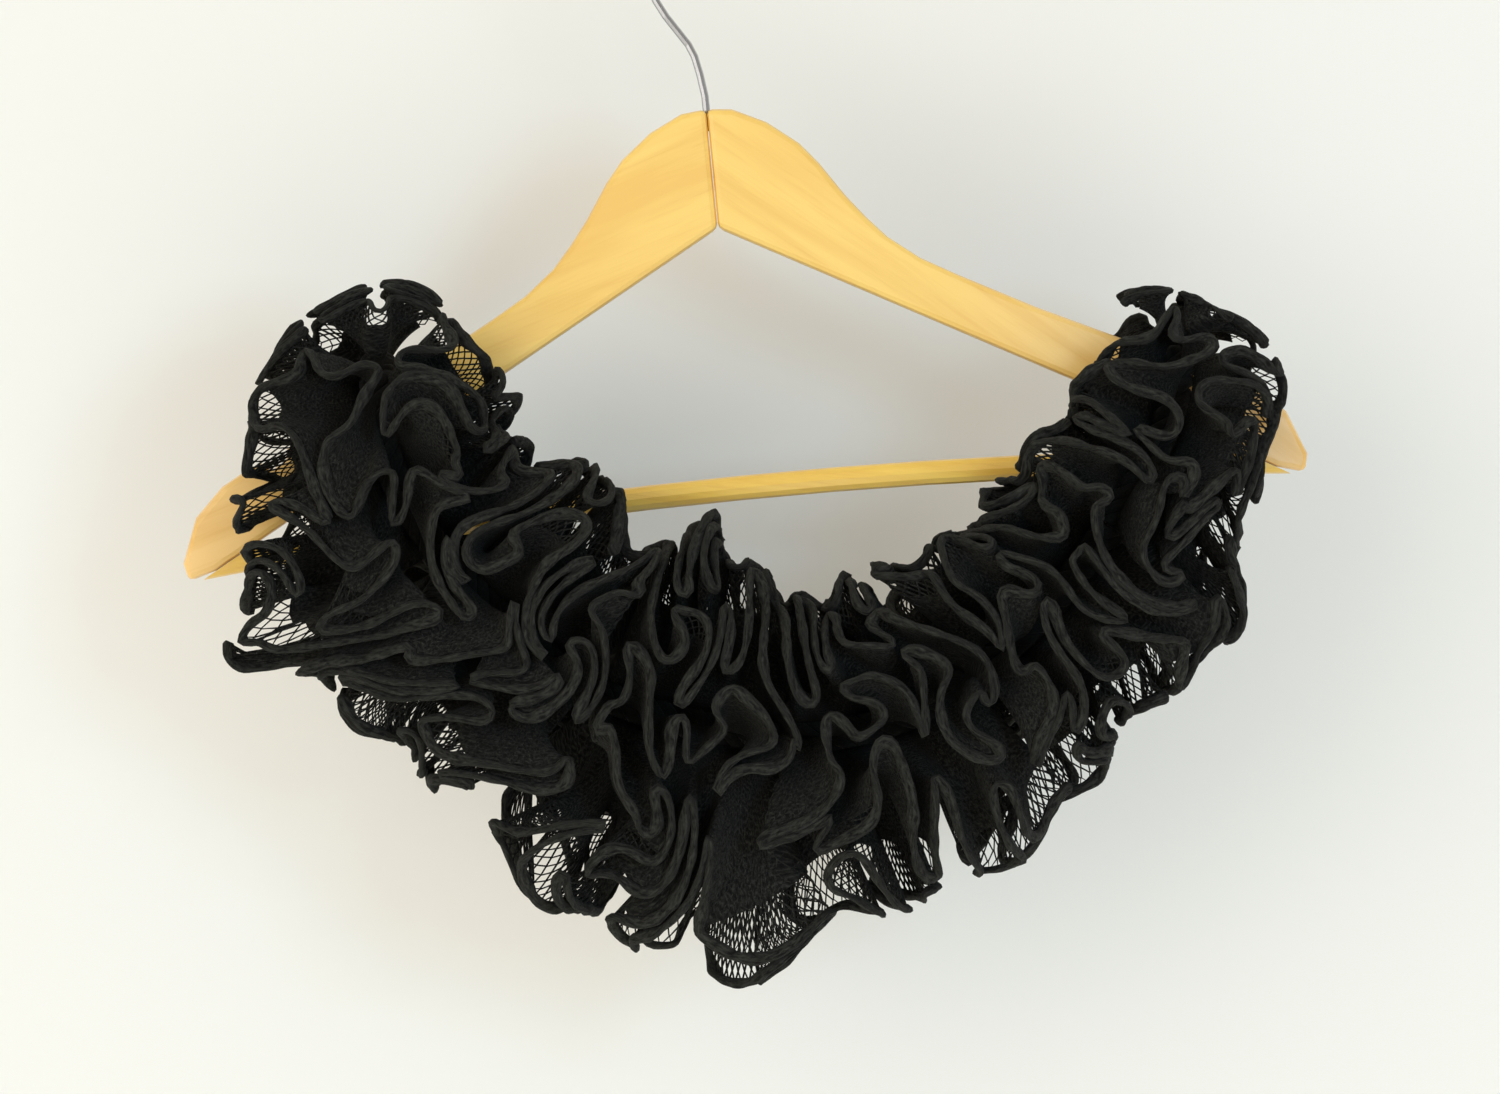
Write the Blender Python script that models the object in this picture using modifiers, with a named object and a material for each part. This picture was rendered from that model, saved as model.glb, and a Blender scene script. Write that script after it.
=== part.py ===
"""Ruffle knit scarf hung over both arms of a wooden hanger. Metres, +Z up, front towards -Y.

The origin is the inner top of the hanger's hook, where it rests on a rail. The hanger hangs tilted, its
right end higher. The scarf is a closed loop: a knitted core with a net ribbon worked onto it, which
stands out all round in tight S-shaped waves.
"""

import math

import bmesh
import bpy
import numpy as np
from mathutils import Matrix, Vector

MM = 0.001

# Hanger, in its own upright frame, measured from the V notch under its centre.
HANGER_TILT = math.radians(5.6)
NOTCH_BELOW_ORIGIN = 115.4 * MM
ARM_THICKNESS = 12.0 * MM
ARM_EDGE_ROUND = 2.2 * MM
SEAM_GAP = 0.3 * MM
ARM_END_X = 209.6 * MM
ARM_END_Z = -114.8 * MM
ARM_TOP_PROFILE = (  # x, z in mm, from the centre to the tip, with the strap notch at 177 to 186
    (0.15, 46.8), (10, 45.8), (23, 39.5), (35, 30), (42, 21.5), (51, 8), (58, -1), (66, -10),
    (78, -19.5), (92, -27.5), (121, -43), (177, -70), (177.6, -74.6), (185.4, -78.6), (186, -74),
    (194, -77), (204, -82.5), (215.4, -93.7), (222, -111.0), (220.5, -118),
)
BAR_RADIUS = 4.85 * MM
BAR_END_X = 216.0 * MM
BAR_SEAT_X = 205.0 * MM
BAR_SEAT_Z = -112.3 * MM
BAR_BOW = 9.6 * MM
HOOK_WIRE_RADIUS = 1.45 * MM
HOOK_BEND_RADIUS = 17.5 * MM
HOOK_CENTRE_Z = 99.35 * MM
HOOK_HOLE_RADIUS = 1.8 * MM
HOOK_HOLE_BOTTOM_Z = 38.0 * MM
HOOK_STEM = ((0, 38.4), (0, 52), (-1.2, 61.2), (-2.6, 68.1), (-4.6, 73), (-8.2, 78.6), (-12.3, 84.9))
HOOK_FIRST_ANGLE = 209
HOOK_LAST_ANGLE = -20
HOOK_STEP_ANGLE = 12
HOOK_HOLE_DEPTH = 30.0 * MM
BAR_STEPS = 12
BAR_ROUND_STEPS = 4
WELD = 0.01 * MM

# Scarf.
CORE_RADIUS = 8.0 * MM
HEADER_RADIUS = 8.9 * MM
WALL = 1.2 * MM
WAVE_BEND = math.radians(72)
WAVE_STEPS = 8
WAVE_HEIGHT = 0.84
TURN_LENGTH = 5.0 * MM
TURN_STEPS = 3
HEADER_TURN_SHARE = 0.6
STRETCH_GAP = 1.6 * MM
CORE_GAP = 0.9 * MM
CORE_END = 1.0 * MM
CORE_STEP = 24 * MM
CORE_TURN = math.radians(9)
LINE_ROUND_STEPS = 2
DROOP = 4.0 * MM
FULLNESS = 2.6
UNEVEN_SHARE = 0.07
UNEVEN_LENGTHS = (9 * MM, 23 * MM)

# Sections round the loop, in mm and degrees: the core's centre, how far the frame has turned over the
# arm, the arm's lean there, and how far the ruffles reach on the four sides of the core.
SECTION_COLUMNS = ("name", "x", "y", "z", "turn", "lean", "away", "toward", "outer", "inner")
SECTIONS = (
    ("left_front_top", -121, -21, -176, 45, -31, 36, 13, 50, 40),
    ("left_front_high", -119, -34, -196, 8, -34, 42, 20, 54, 48),
    ("left_front", -111, -38, -219, 0, -34, 46, 29, 60, 52),
    ("left_low", -94, -39, -245, 0, -25, 48, 30, 62, 56),
    ("left_lower", -69, -39, -271, 0, -15, 50, 30, 66, 62),
    ("bottom_left", -38, -39, -295, 0, -10, 51, 30, 70, 68),
    ("bottom", 3, -39, -309, 0, -5, 52, 30, 70, 68),
    ("bottom_middle", 46, -39, -314, 0, 0, 52, 30, 66, 61),
    ("bottom_right", 90, -39, -303, 0, 5, 50, 30, 62, 58),
    ("right_lower", 130, -39, -273, 0, 10, 48, 30, 58, 54),
    ("right_low", 160, -39, -237, 0, 15, 46, 30, 54, 48),
    ("right_front", 178, -38, -208, 0, 23, 44, 29, 44, 40),
    ("right_front_high", 187, -34, -187, 8, 23, 40, 25, 44, 40),
    ("right_front_top", 191, -21, -165, 45, 20, 28, 14, 40, 36),
    ("right_over", 191.9, 0, -157.1, 90, 20, 20, 12, 40, 34),
    ("right_back_top", 191, 21, -165, 135, 20, 26, 14, 36, 34),
    ("right_back_high", 187, 34, -187, 172, 23, 34, 25, 38, 36),
    ("right_back", 176, 37, -212, 180, 23, 36, 28, 38, 36),
    ("back_right", 152, 38, -245, 180, 15, 38, 29, 40, 38),
    ("back_lower_right", 115, 38, -279, 180, 10, 38, 29, 42, 40),
    ("back_bottom_right", 72, 38, -303, 180, 5, 38, 29, 44, 42),
    ("back_bottom", 26, 38, -312, 180, 0, 38, 29, 44, 44),
    ("back_bottom_left", -20, 38, -304, 180, -5, 38, 29, 44, 44),
    ("back_lower_left", -60, 38, -280, 180, -10, 38, 29, 44, 42),
    ("back_left", -92, 38, -247, 180, -20, 38, 29, 42, 40),
    ("left_back", -111, 37, -217, 180, -34, 36, 28, 40, 38),
    ("left_back_high", -118, 34, -197, 172, -34, 36, 25, 40, 38),
    ("left_back_top", -121, 21, -176, 135, -31, 36, 14, 42, 38),
    ("left_over", -122.5, 0, -170.0, 90, -31, 36, 12, 46, 40),
)
SPLINE_STEPS = 40

# Lobes that stand out furthest from the front swag, as seen from the front: tip and half width in mm.
LOBE_COLUMNS = ("name", "x", "z", "width")
LOBES = (
    ("left_tube", -176, -196, 14),
    ("left_round", -173, -246, 24),
    ("left_point", -174, -279, 13),
    ("left_spike", -88, -341, 16),
    ("bottom_net", -42, -379, 22),
    ("tail", 12, -408, 19),
    ("tail_side", 44, -400, 12),
    ("right_bottom", 86, -375, 20),
    ("right_net", 208, -274, 17),
    ("right_hooked", 215, -233, 12),
    ("right_spike", 230, -196, 13),
    ("right_loops", 232, -168, 12),
    ("inner_left", -64, -182, 16),
    ("inner_bar", -30, -208, 16),
    ("inner_middle", 6, -228, 15),
    ("inner_right", 118, -215, 16),
)

# Rows of waves round the core: their limits in degrees from the side away from the hanger, and one
# wave's length in mm for each row.
ROW_COLUMNS = ("first", "last", "wave")
FRONT_ROWS = ((-180, -112, 34), (-112, -67, 24), (-67, -22, 24), (-22, 22, 24), (22, 67, 24), (67, 112, 24),
              (112, 180, 34))
BACK_ROWS = ((-180, -110, 60), (-110, -38, 40), (-38, 38, 40), (38, 110, 40), (110, 180, 60))
OVER_ROWS = ((-72, -24, 20), (-24, 24, 20), (24, 72, 20))

# Stretches of the loop: the sections each one runs between, how many parts it is cut in, and its rows.
STRETCH_COLUMNS = ("name", "first", "last", "parts", "rows")
STRETCHES = (
    ("front", "left_front_top", "right_front_top", 6, FRONT_ROWS),
    ("over_right", "right_front_top", "right_back_top", 1, OVER_ROWS),
    ("back", "right_back_top", "left_back_top", 5, BACK_ROWS),
    ("over_left", "left_back_top", "left_front_top", 1, OVER_ROWS),
)

# The rows wander: how far along the loop and round the core, fading out where the scarf crosses an arm.
WANDER_ALONG = 8 * MM
WANDER_ROUND = 0.14
WANDER_ALONG_LENGTH = 45 * MM
WANDER_ROUND_LENGTH = 12 * MM
CALM_LENGTH = (28 * MM, 52 * MM)

COLOURS = {
    "wood": (0.80, 0.50, 0.20, 1.0),
    "bar_wood": (0.72, 0.38, 0.12, 1.0),
    "steel": (0.62, 0.62, 0.64, 1.0),
    "yarn": (0.018, 0.018, 0.016, 1.0),
    "net": (0.026, 0.026, 0.023, 1.0),
}


def named(columns, table):
    """The rows of a table, each value under the name of its column."""
    return [dict(zip(columns, row)) for row in table]


def clear_scene():
    for thing in list(bpy.data.objects):
        bpy.data.objects.remove(thing, do_unlink=True)


def new_collection(name):
    collection = bpy.data.collections.new(name)
    bpy.context.scene.collection.children.link(collection)
    return collection


def material(name, roughness, metallic=0.0):
    made = bpy.data.materials.new(name)
    made.use_nodes = True
    shader = made.node_tree.nodes["Principled BSDF"]
    shader.inputs["Base Color"].default_value = COLOURS[name]
    shader.inputs["Roughness"].default_value = roughness
    shader.inputs["Metallic"].default_value = metallic
    return made


def add_object(name, data, collection, finish, parent=None):
    thing = bpy.data.objects.new(name, data)
    collection.objects.link(thing)
    data.materials.append(finish)
    thing.parent = parent
    return thing


def wire_curve(points, radius, resolution):
    curve = bpy.data.curves.new("wire", "CURVE")
    curve.dimensions = "3D"
    curve.bevel_depth = radius
    curve.bevel_resolution = resolution
    curve.use_fill_caps = True
    spline = curve.splines.new("POLY")
    spline.points.add(len(points) - 1)
    for point, place in zip(spline.points, points):
        point.co = (*place, 1.0)
    return curve


def mesh_of_curve(curve):
    """The curve's own shape as a closed mesh, its caps welded on."""
    holder = bpy.data.objects.new("holder", curve)
    bpy.context.scene.collection.objects.link(holder)
    depsgraph = bpy.context.evaluated_depsgraph_get()
    mesh = bpy.data.meshes.new_from_object(holder.evaluated_get(depsgraph))
    bpy.data.objects.remove(holder, do_unlink=True)
    shape = bmesh.new()
    shape.from_mesh(mesh)
    bmesh.ops.remove_doubles(shape, verts=shape.verts, dist=WELD)
    bmesh.ops.recalc_face_normals(shape, faces=shape.faces)
    shape.to_mesh(mesh)
    shape.free()
    return mesh


def add_arm(name, side, collection, finish, frame, cutter):
    """One arm: a flat outline as thick as the wood, its edges rounded, half of the hook's hole in it."""
    outline = [(x * MM, z * MM) for x, z in ARM_TOP_PROFILE]
    outline += [(ARM_END_X, ARM_END_Z), (SEAM_GAP / 2, -SEAM_GAP / 2 * ARM_END_Z / -ARM_END_X)]
    curve = bpy.data.curves.new(name, "CURVE")
    curve.dimensions = "2D"
    curve.fill_mode = "BOTH"
    curve.extrude = ARM_THICKNESS / 2
    spline = curve.splines.new("POLY")
    spline.points.add(len(outline) - 1)
    spline.use_cyclic_u = True
    for point, (x, z) in zip(spline.points, outline):
        point.co = (side * x, z, 0.0, 1.0)
    mesh = mesh_of_curve(curve)
    mesh.transform(Matrix.Rotation(math.radians(90), 4, "X"))
    arm = add_object(name, mesh, collection, finish, frame)
    arm.location = (0, 0, -NOTCH_BELOW_ORIGIN)
    rounding = arm.modifiers.new("rounded_edges", "BEVEL")
    rounding.width = ARM_EDGE_ROUND
    rounding.segments = 2
    rounding.limit_method = "ANGLE"
    rounding.angle_limit = math.radians(60)
    hole = arm.modifiers.new("hook_hole", "BOOLEAN")
    hole.object = cutter
    hole.operation = "DIFFERENCE"
    hole.solver = "EXACT"
    return arm


def add_hook_cutter(collection, frame):
    shape = bmesh.new()
    bmesh.ops.create_cone(shape, cap_ends=True, segments=12, radius1=HOOK_HOLE_RADIUS,
                          radius2=HOOK_HOLE_RADIUS, depth=HOOK_HOLE_DEPTH)
    mesh = bpy.data.meshes.new("hook_hole")
    shape.to_mesh(mesh)
    shape.free()
    cutter = bpy.data.objects.new("hook_hole", mesh)
    collection.objects.link(cutter)
    cutter.parent = frame
    cutter.location = (0, 0, HOOK_HOLE_BOTTOM_Z + HOOK_HOLE_DEPTH / 2 - NOTCH_BELOW_ORIGIN)
    cutter.hide_render = True
    cutter.display_type = "WIRE"
    return cutter


def add_crossbar(collection, finish, frame):
    """A bowed round bar, its ends cut to the slope of the arms above it."""
    points = []
    for step in range(BAR_STEPS + 1):
        x = BAR_END_X * (2 * step / BAR_STEPS - 1)
        points.append((x, 0.0, BAR_SEAT_Z + BAR_BOW * (1 - (x / BAR_SEAT_X) ** 2)))
    mesh = mesh_of_curve(wire_curve(points, BAR_RADIUS, BAR_ROUND_STEPS))
    shape = bmesh.new()
    shape.from_mesh(mesh)
    for side in (-1, 1):
        above_arm_edge = Vector((side * -ARM_END_Z, 0, ARM_END_X)).normalized()
        bmesh.ops.bisect_plane(shape, geom=shape.verts[:] + shape.edges[:] + shape.faces[:], dist=0.000001,
                               plane_co=-above_arm_edge * SEAM_GAP, plane_no=above_arm_edge, clear_outer=True)
        rim = [edge for edge in shape.edges if edge.is_boundary]
        bmesh.ops.contextual_create(shape, geom=rim)
    bmesh.ops.recalc_face_normals(shape, faces=shape.faces)
    shape.to_mesh(mesh)
    shape.free()
    mesh.shade_smooth()
    mesh.set_sharp_from_angle(angle=math.radians(40))
    bar = add_object("crossbar", mesh, collection, finish, frame)
    bar.location = (0, 0, -NOTCH_BELOW_ORIGIN)
    return bar


def add_hook(collection, finish, frame):
    points = [(x * MM, 0.0, z * MM) for x, z in HOOK_STEM]
    for degrees in range(HOOK_FIRST_ANGLE, HOOK_LAST_ANGLE - 1, -HOOK_STEP_ANGLE):
        angle = math.radians(degrees)
        points.append((HOOK_BEND_RADIUS * math.cos(angle), 0.0,
                       HOOK_CENTRE_Z + HOOK_BEND_RADIUS * math.sin(angle)))
    mesh = mesh_of_curve(wire_curve(points, HOOK_WIRE_RADIUS, LINE_ROUND_STEPS))
    hook = add_object("hook", mesh, collection, finish, frame)
    hook.location = (0, 0, -NOTCH_BELOW_ORIGIN)
    hook.data.shade_smooth()
    hook.data.set_sharp_from_angle(angle=math.radians(40))
    return hook


def unit(vectors):
    return vectors / np.linalg.norm(vectors, axis=1, keepdims=True)


def closed_spline(rows):
    """A smooth closed curve through all the columns of the rows at once."""
    points = np.array(rows, float)
    made = []
    for index in range(len(points)):
        before, here, after, beyond = (points[(index + shift) % len(points)] for shift in (-1, 0, 1, 2))
        for step in range(SPLINE_STEPS):
            t = step / SPLINE_STEPS
            made.append(0.5 * (2 * here + (after - before) * t
                               + (2 * before - 5 * here + 4 * after - beyond) * t ** 2
                               + (3 * here - before - 3 * after + beyond) * t ** 3))
    return np.array(made)


class Loop:
    """The scarf's core as a closed line, with its frame and the ruffles' reach along it."""

    def __init__(self):
        rows = closed_spline([section[1:] for section in SECTIONS])
        values = dict(zip(SECTION_COLUMNS[1:], rows.T))
        self.centre = rows[:, :3] * MM
        ahead = np.roll(self.centre, -1, axis=0)
        behind = np.roll(self.centre, 1, axis=0)
        along = self.along = unit(ahead - behind)
        turn, lean = np.radians(values["turn"]), np.radians(values["lean"])
        away = np.stack([np.sin(turn) * np.sin(lean), -np.cos(turn), np.sin(turn) * np.cos(lean)], axis=1)
        away = unit(away - along * np.sum(away * along, axis=1, keepdims=True))
        self.away = away
        self.side = np.cross(along, away)
        lengths = np.linalg.norm(ahead - self.centre, axis=1)
        self.place = np.concatenate([[0.0], np.cumsum(lengths)[:-1]])
        self.length = float(lengths.sum())
        self.reach = {name: values[name] * MM for name in ("away", "toward", "outer", "inner")}
        self.starts = {section[0]: self.place[index * SPLINE_STEPS] for index, section in enumerate(SECTIONS)}
        for lobe in named(LOBE_COLUMNS, LOBES):
            self.add_lobe(lobe["x"] * MM, lobe["z"] * MM, lobe["width"] * MM)

    def add_lobe(self, x, z, width):
        """Stretches the reach on the lobe's side until it meets the lobe's tip."""
        front = self.centre[:, 1] < -30 * MM
        offset = np.array([x, 0.0, z]) - self.centre * [1, 0, 1]
        distance = np.where(front, np.linalg.norm(offset, axis=1), np.inf)
        nearest = int(np.argmin(distance))
        side = "outer" if offset[nearest] @ self.side[nearest] > 0 else "inner"
        more = distance[nearest] - self.reach[side][nearest]
        self.reach[side] = self.reach[side] + more * np.exp(-((self.place - self.place[nearest]) / width) ** 2)

    def at(self, values, place):
        """The values of a column, or of three, at each place along the loop."""
        place = np.mod(place, self.length)
        knots = np.append(self.place, self.length)
        if values.ndim == 1:
            return np.interp(place, knots, np.append(values, values[0]))
        return np.stack([np.interp(place, knots, np.append(column, column[0])) for column in values.T], axis=1)

    def from_over(self, place):
        """The distance along the loop to the nearer place where it crosses an arm."""
        nearest = np.full(np.shape(place), self.length)
        for name in ("left_over", "right_over"):
            apart = np.abs(np.mod(place - self.starts[name] + self.length / 2, self.length) - self.length / 2)
            nearest = np.minimum(nearest, apart)
        return nearest


def wander(loop, place, angle, height):
    """Moves points of the unrolled surface smoothly, more towards the free edge, so that no two meet."""
    calm = np.clip((loop.from_over(place) - CALM_LENGTH[0]) / (CALM_LENGTH[1] - CALM_LENGTH[0]), 0, 1)
    amount = height * calm * calm * (3 - 2 * calm)
    return (place + amount * WANDER_ALONG * np.sin(place / WANDER_ALONG_LENGTH + angle),
            angle + amount * WANDER_ROUND * np.sin(place / WANDER_ROUND_LENGTH + 2 * angle))


def cloth_points(loop, place, angle, height):
    """Points of the ribbon: place along the loop, angle round the core, height from header to edge."""
    place, angle = wander(loop, place, angle, height)
    across, out = np.sin(angle), np.cos(angle)
    short, long = UNEVEN_LENGTHS
    uneven = 1 + UNEVEN_SHARE * np.sin(place / short + 2 * angle) * np.sin(place / long - angle)
    side = np.where(across > 0, loop.at(loop.reach["outer"], place), loop.at(loop.reach["inner"], place))
    face = np.where(out > 0, loop.at(loop.reach["away"], place) * uneven, loop.at(loop.reach["toward"], place))
    reach = ((np.abs(out) / face) ** FULLNESS + (np.abs(across) / side) ** FULLNESS) ** (-1 / FULLNESS)
    radius = HEADER_RADIUS + (reach - HEADER_RADIUS) * height
    points = (loop.at(loop.centre, place) + loop.at(loop.away, place) * (out * radius)[:, None]
              + loop.at(loop.side, place) * (across * radius)[:, None])
    points[:, 2] -= DROOP * height ** 2
    return points


def wave_shape(steps):
    """One wave of a curve whose direction swings as a sine: unit length, heights from -0.5 to 0.5."""
    fine = 60
    along, across = [0.0], [0.0]
    for step in range(steps * fine):
        direction = WAVE_BEND * math.sin(2 * math.pi * (step + 0.5) / (steps * fine))
        along.append(along[-1] + math.cos(direction))
        across.append(across[-1] + math.sin(direction))
    top = max(across)
    return [x / along[-1] for x in along[::fine]], [y / top - 0.5 for y in across[::fine]]


def ribbon_path(start, end, rows):
    """Runs to and fro along the rows: header and edge positions (place, angle) of each rib of the wall."""
    along, across = wave_shape(WAVE_STEPS)
    low, high = start + TURN_LENGTH, end - TURN_LENGTH
    path = []
    edge_end = None
    for number, row in enumerate(rows):
        middle = math.radians(row["first"] + row["last"]) / 2
        swing_width = WAVE_HEIGHT * math.radians(row["last"] - row["first"])
        begin, finish = (low, high) if number % 2 == 0 else (high, low)
        if edge_end is not None:
            path += turn_between(begin, path[-1][1], middle, edge_end, middle - swing_width / 2,
                                 math.copysign(TURN_LENGTH, begin - finish))
        count = max(1, round((high - low) / (row["wave"] * MM) - 0.5)) + 0.5
        ribs = int(count * WAVE_STEPS)
        for rib in range(ribs + 1):
            whole, part = divmod(rib, WAVE_STEPS)
            path.append((begin + (finish - begin) * rib / ribs, middle,
                         begin + (finish - begin) * (whole + along[part]) / count,
                         middle + swing_width * across[part]))
        edge_end = middle + swing_width / 2
    return np.array(path)


def turn_between(place, header_from, header_to, edge_from, edge_to, outwards):
    """The small U-turn from the end of one row to the start of the next."""
    ribs = []
    for step in range(1, TURN_STEPS):
        swing = math.pi * step / TURN_STEPS
        share = (1 - math.cos(swing)) / 2
        ribs.append((place + HEADER_TURN_SHARE * outwards * math.sin(swing),
                     header_from + (header_to - header_from) * share,
                     place + outwards * math.sin(swing),
                     edge_from + (edge_to - edge_from) * share))
    return ribs


def add_ribbon(name, loop, start, end, rows, collection, finish):
    """The net ribbon of one stretch, as one wall from the core to its waving free edge."""
    path = ribbon_path(start, end, named(ROW_COLUMNS, rows))
    header = cloth_points(loop, path[:, 0], path[:, 1], np.zeros(len(path)))
    edge = cloth_points(loop, path[:, 2], path[:, 3], np.ones(len(path)))
    shape = bmesh.new()
    lower = [shape.verts.new(point) for point in header]
    upper = [shape.verts.new(point) for point in edge]
    for rib in range(len(path) - 1):
        shape.faces.new((lower[rib], lower[rib + 1], upper[rib + 1], upper[rib]))
    mesh = bpy.data.meshes.new(name)
    shape.to_mesh(mesh)
    shape.free()
    ribbon = add_object(name, mesh, collection, finish)
    creases = ribbon.modifiers.new("creases", "TRIANGULATE")
    creases.quad_method = "SHORTEST_DIAGONAL"
    wall = ribbon.modifiers.new("wall", "SOLIDIFY")
    wall.thickness = WALL
    wall.offset = 0.0
    return ribbon


def add_core(name, loop, start, end, collection, finish):
    """The knitted core of one stretch, a round cord."""
    start, end = start + CORE_GAP / 2, end - CORE_GAP / 2
    places = [start, start + CORE_END]
    for place in np.arange(start + CORE_END, end - 2 * CORE_END, CORE_END):
        here, last = loop.at(loop.along, np.array([place, places[-1]]))
        turned = math.acos(min(1.0, here @ last / np.linalg.norm(here) / np.linalg.norm(last)))
        if turned > CORE_TURN or place - places[-1] > CORE_STEP:
            places.append(place)
    places += [end - CORE_END, end]
    points = loop.at(loop.centre, np.array(places))
    mesh = mesh_of_curve(wire_curve([tuple(point) for point in points], CORE_RADIUS, LINE_ROUND_STEPS))
    core = add_object(name, mesh, collection, finish)
    core.data.shade_smooth()
    core.data.set_sharp_from_angle(angle=math.radians(50))
    return core


def add_scarf(collection, yarn, net):
    loop = Loop()
    for stretch in named(STRETCH_COLUMNS, STRETCHES):
        start, end = loop.starts[stretch["first"]], loop.starts[stretch["last"]]
        if end < start:
            end += loop.length
        parts = stretch["parts"]
        for part in range(parts):
            label = f"{stretch['name']}_{part + 1}" if parts > 1 else stretch["name"]
            low = start + (end - start) * part / parts
            high = start + (end - start) * (part + 1) / parts
            add_core(f"core_{label}", loop, low, high, collection, yarn)
            add_ribbon(f"ruffle_{label}", loop, low + STRETCH_GAP / 2, high - STRETCH_GAP / 2,
                       stretch["rows"], collection, net)


def add_hanger(collection, cutters):
    frame = bpy.data.objects.new("hanger_frame", None)
    collection.objects.link(frame)
    frame.rotation_euler = (0, -HANGER_TILT, 0)
    wood = material("wood", 0.35)
    cutter = add_hook_cutter(cutters, frame)
    add_arm("hanger_arm_left", -1, collection, wood, frame, cutter)
    add_arm("hanger_arm_right", 1, collection, wood, frame, cutter)
    add_crossbar(collection, material("bar_wood", 0.4), frame)
    add_hook(collection, material("steel", 0.25, 1.0), frame)


clear_scene()
scarf_parts = new_collection("ruffle_scarf_on_hanger")
cutter_parts = new_collection("cutters")
add_hanger(scarf_parts, cutter_parts)
add_scarf(scarf_parts, material("yarn", 0.9), material("net", 0.85))
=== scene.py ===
"""A black ruffle scarf on a wooden hanger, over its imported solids. Metres, +Z up, front towards -Y."""

import math
import random

import bmesh
import bpy
import numpy as np
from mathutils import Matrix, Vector


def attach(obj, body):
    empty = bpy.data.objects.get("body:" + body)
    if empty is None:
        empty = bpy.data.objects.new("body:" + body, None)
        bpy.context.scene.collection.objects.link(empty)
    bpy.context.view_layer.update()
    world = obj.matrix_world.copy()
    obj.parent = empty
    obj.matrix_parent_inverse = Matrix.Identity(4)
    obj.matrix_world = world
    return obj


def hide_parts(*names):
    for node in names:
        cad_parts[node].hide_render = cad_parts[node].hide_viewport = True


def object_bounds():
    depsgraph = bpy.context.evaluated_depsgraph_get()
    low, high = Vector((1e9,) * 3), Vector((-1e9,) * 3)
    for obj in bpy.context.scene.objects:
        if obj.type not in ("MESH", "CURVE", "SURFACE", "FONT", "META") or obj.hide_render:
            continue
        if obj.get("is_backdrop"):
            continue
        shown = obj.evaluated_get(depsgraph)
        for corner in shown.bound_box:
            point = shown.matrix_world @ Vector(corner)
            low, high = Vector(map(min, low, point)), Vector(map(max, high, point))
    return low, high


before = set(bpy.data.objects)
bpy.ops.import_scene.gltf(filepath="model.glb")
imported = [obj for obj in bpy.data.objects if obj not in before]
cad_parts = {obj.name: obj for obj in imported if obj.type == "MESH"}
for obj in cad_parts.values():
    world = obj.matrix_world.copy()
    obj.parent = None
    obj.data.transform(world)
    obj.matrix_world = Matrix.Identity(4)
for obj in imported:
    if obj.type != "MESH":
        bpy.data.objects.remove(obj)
solid_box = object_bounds()


# Camera. It looks straight at the hanger from a little below it, from far off, so that the picture has
# almost no perspective. The picture spans 591 mm at the hanger, and shows colours as they are lit.
PICTURE_SPAN = 0.5906
CAMERA_PLACE = (0.0239, -2.60, -0.2404)

camera_data = bpy.data.cameras.new("camera")
camera_data.sensor_width = 36.0
camera_data.lens = 36.0 * -CAMERA_PLACE[1] / PICTURE_SPAN
camera = bpy.data.objects.new("camera", camera_data)
camera.location = CAMERA_PLACE
camera.rotation_euler = (math.radians(90), 0, 0)
bpy.context.scene.collection.objects.link(camera)
bpy.context.scene.camera = camera
bpy.context.scene.view_settings.view_transform = "Standard"


# Room and light. A pale painted wall close behind the hanger runs down into the floor in one sweep, and
# can be looked through from its back. The daylight is warm and even, and a cool lamp at the front right
# throws the scarf's faint shadow to the left.
WALL_Y = 0.155
WALL_TOP = 2.0
FLOOR_FROM = -4.0
FLOOR_Z = -1.15
SWEEP = 0.35
SWEEP_STEPS = 12
ROOM_HALF_WIDTH = 3.0
PAINT = (0.90, 0.89, 0.84, 1.0)
DAYLIGHT = (1.0, 0.955, 0.885, 1.0)
DAYLIGHT_STRENGTH = 0.64
LIT_POINT = (0.02, 0.0, -0.24)
LAMP_COLUMNS = ("name", "place", "size", "watts", "colour")
LAMPS = (
    ("key", (0.80, -2.2, -0.05), 0.5, 12, (0.48, 0.74, 1.0)),
    ("fill", (-1.3, -2.3, -0.1), 1.8, 21, (1.0, 0.97, 0.92)),
    ("low", (0.3, -1.6, -1.0), 1.2, 6, (1.0, 0.97, 0.92)),
)


def named(columns, table):
    return [dict(zip(columns, row)) for row in table]


def add_node(tree, kind, **inputs):
    made = tree.nodes.new(kind)
    for name, value in inputs.items():
        made.inputs[name.replace("_", " ")].default_value = value
    return made


def new_material(name, **inputs):
    made = bpy.data.materials.new(name)
    made.use_nodes = True
    shader = made.node_tree.nodes["Principled BSDF"]
    for socket, value in inputs.items():
        shader.inputs[socket.replace("_", " ")].default_value = value
    return made, made.node_tree, shader


def new_object(name, mesh, *materials):
    made = bpy.data.objects.new(name, mesh)
    bpy.context.scene.collection.objects.link(made)
    for material in materials:
        mesh.materials.append(material)
    return made


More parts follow.
